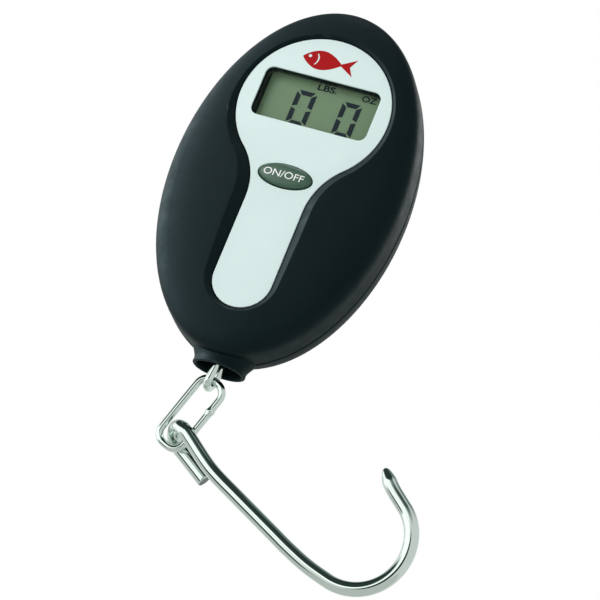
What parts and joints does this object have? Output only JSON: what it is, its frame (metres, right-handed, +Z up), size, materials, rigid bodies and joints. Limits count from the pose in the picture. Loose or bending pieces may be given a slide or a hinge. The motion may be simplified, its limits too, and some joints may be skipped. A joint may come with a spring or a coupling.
{
  "type": "digital fish scale",
  "caption": "Egg-shaped hand-held hanging scale with a recessed face plate, display, oval power button, and a J hook on a chain link below.",
  "frame": {"origin": "middle of the flat pad on the back of the case", "axes": "+Y out of the back, -Y towards the face and its user, +Z up the case away from the hook, +X to the user's right"},
  "size_m": [0.0873, 0.023, 0.1349],
  "materials": {
    "soft_black": "soft-touch matte",
    "silver_plate": "satin silver",
    "clear_window": "clear",
    "lcd": "grey-green display glass",
    "black_plastic": "moulded",
    "rubber": "matte",
    "button": "satin grey-green",
    "circuit_board": "solder mask",
    "epoxy": "potted blob",
    "steel": "plain",
    "chrome": "polished wire",
    "aluminium": "machined",
    "gauge_film": "polyimide film",
    "wire_red": "insulation",
    "wire_black": "insulation"
  },
  "bodies": {
    "case": {"front_shell": "soft_black", "rear_shell": "soft_black", "case_seal": "rubber", "face_plate": "silver_plate", "display_window": "clear_window", "lcd_glass": "lcd", "lcd_frame": "black_plastic", "zebra_strip_upper": "rubber", "zebra_strip_lower": "rubber", "circuit_board": "circuit_board", "controller_chip": "epoxy", "tact_switch": "black_plastic", "coin_cell": "steel", "contact_negative": "steel", "contact_positive": "steel", "battery_wire_red": "wire_red", "battery_wire_black": "wire_black", "case_screw_1": "steel", "case_screw_2": "steel", "case_screw_3": "steel", "case_screw_4": "steel", "board_screw_1": "steel", "board_screw_2": "steel", "load_cell_screw_1": "steel", "load_cell_screw_2": "steel", "load_cell": "aluminium", "strain_gauge_upper": "gauge_film", "strain_gauge_lower": "gauge_film", "gauge_cable": "wire_black"},
    "button": {"on_off_button": "button", "switch_plunger": "black_plastic"},
    "battery_cap": {"battery_cap": "black_plastic", "battery_cap_seal": "rubber"},
    "hanger": {"load_hanger": "steel", "hanger_screw": "steel"},
    "eye": {"load_eye": "chrome"},
    "link": {"chain_link": "chrome"},
    "hook": {"hook": "chrome"}
  },
  "joints": [
    {"name": "button_press", "type": "slide", "parent": "case", "child": "button", "axis": [0, 1, 0], "range_m": [0, 0.0008]},
    {"name": "battery_cap_turn", "type": "hinge", "parent": "case", "child": "battery_cap", "pos_m": [0, -0.001, 0.018], "axis": [0, 1, 0], "range_deg": [0, 60]},
    {"name": "load_deflection", "type": "slide", "parent": "case", "child": "hanger", "axis": [0, 0, -1], "range_m": [0, 0.0003]},
    {"name": "eye_tilt", "type": "hinge", "parent": "hanger", "child": "eye", "pos_m": [0, -0.012, -0.0437], "axis": [1, 0, 0], "range_deg": [-27, 3]},
    {"name": "link_swing", "type": "hinge", "parent": "eye", "child": "link", "pos_m": [-0.00135, -0.01038, -0.05131], "axis": [0, -0.9781, -0.2079], "range_deg": [-18, 42]},
    {"name": "hook_swing", "type": "hinge", "parent": "link", "child": "hook", "pos_m": [-0.00589, -0.00791, -0.06295], "axis": [0, -0.9781, -0.2079], "range_deg": [-102, 2]}
  ]
}
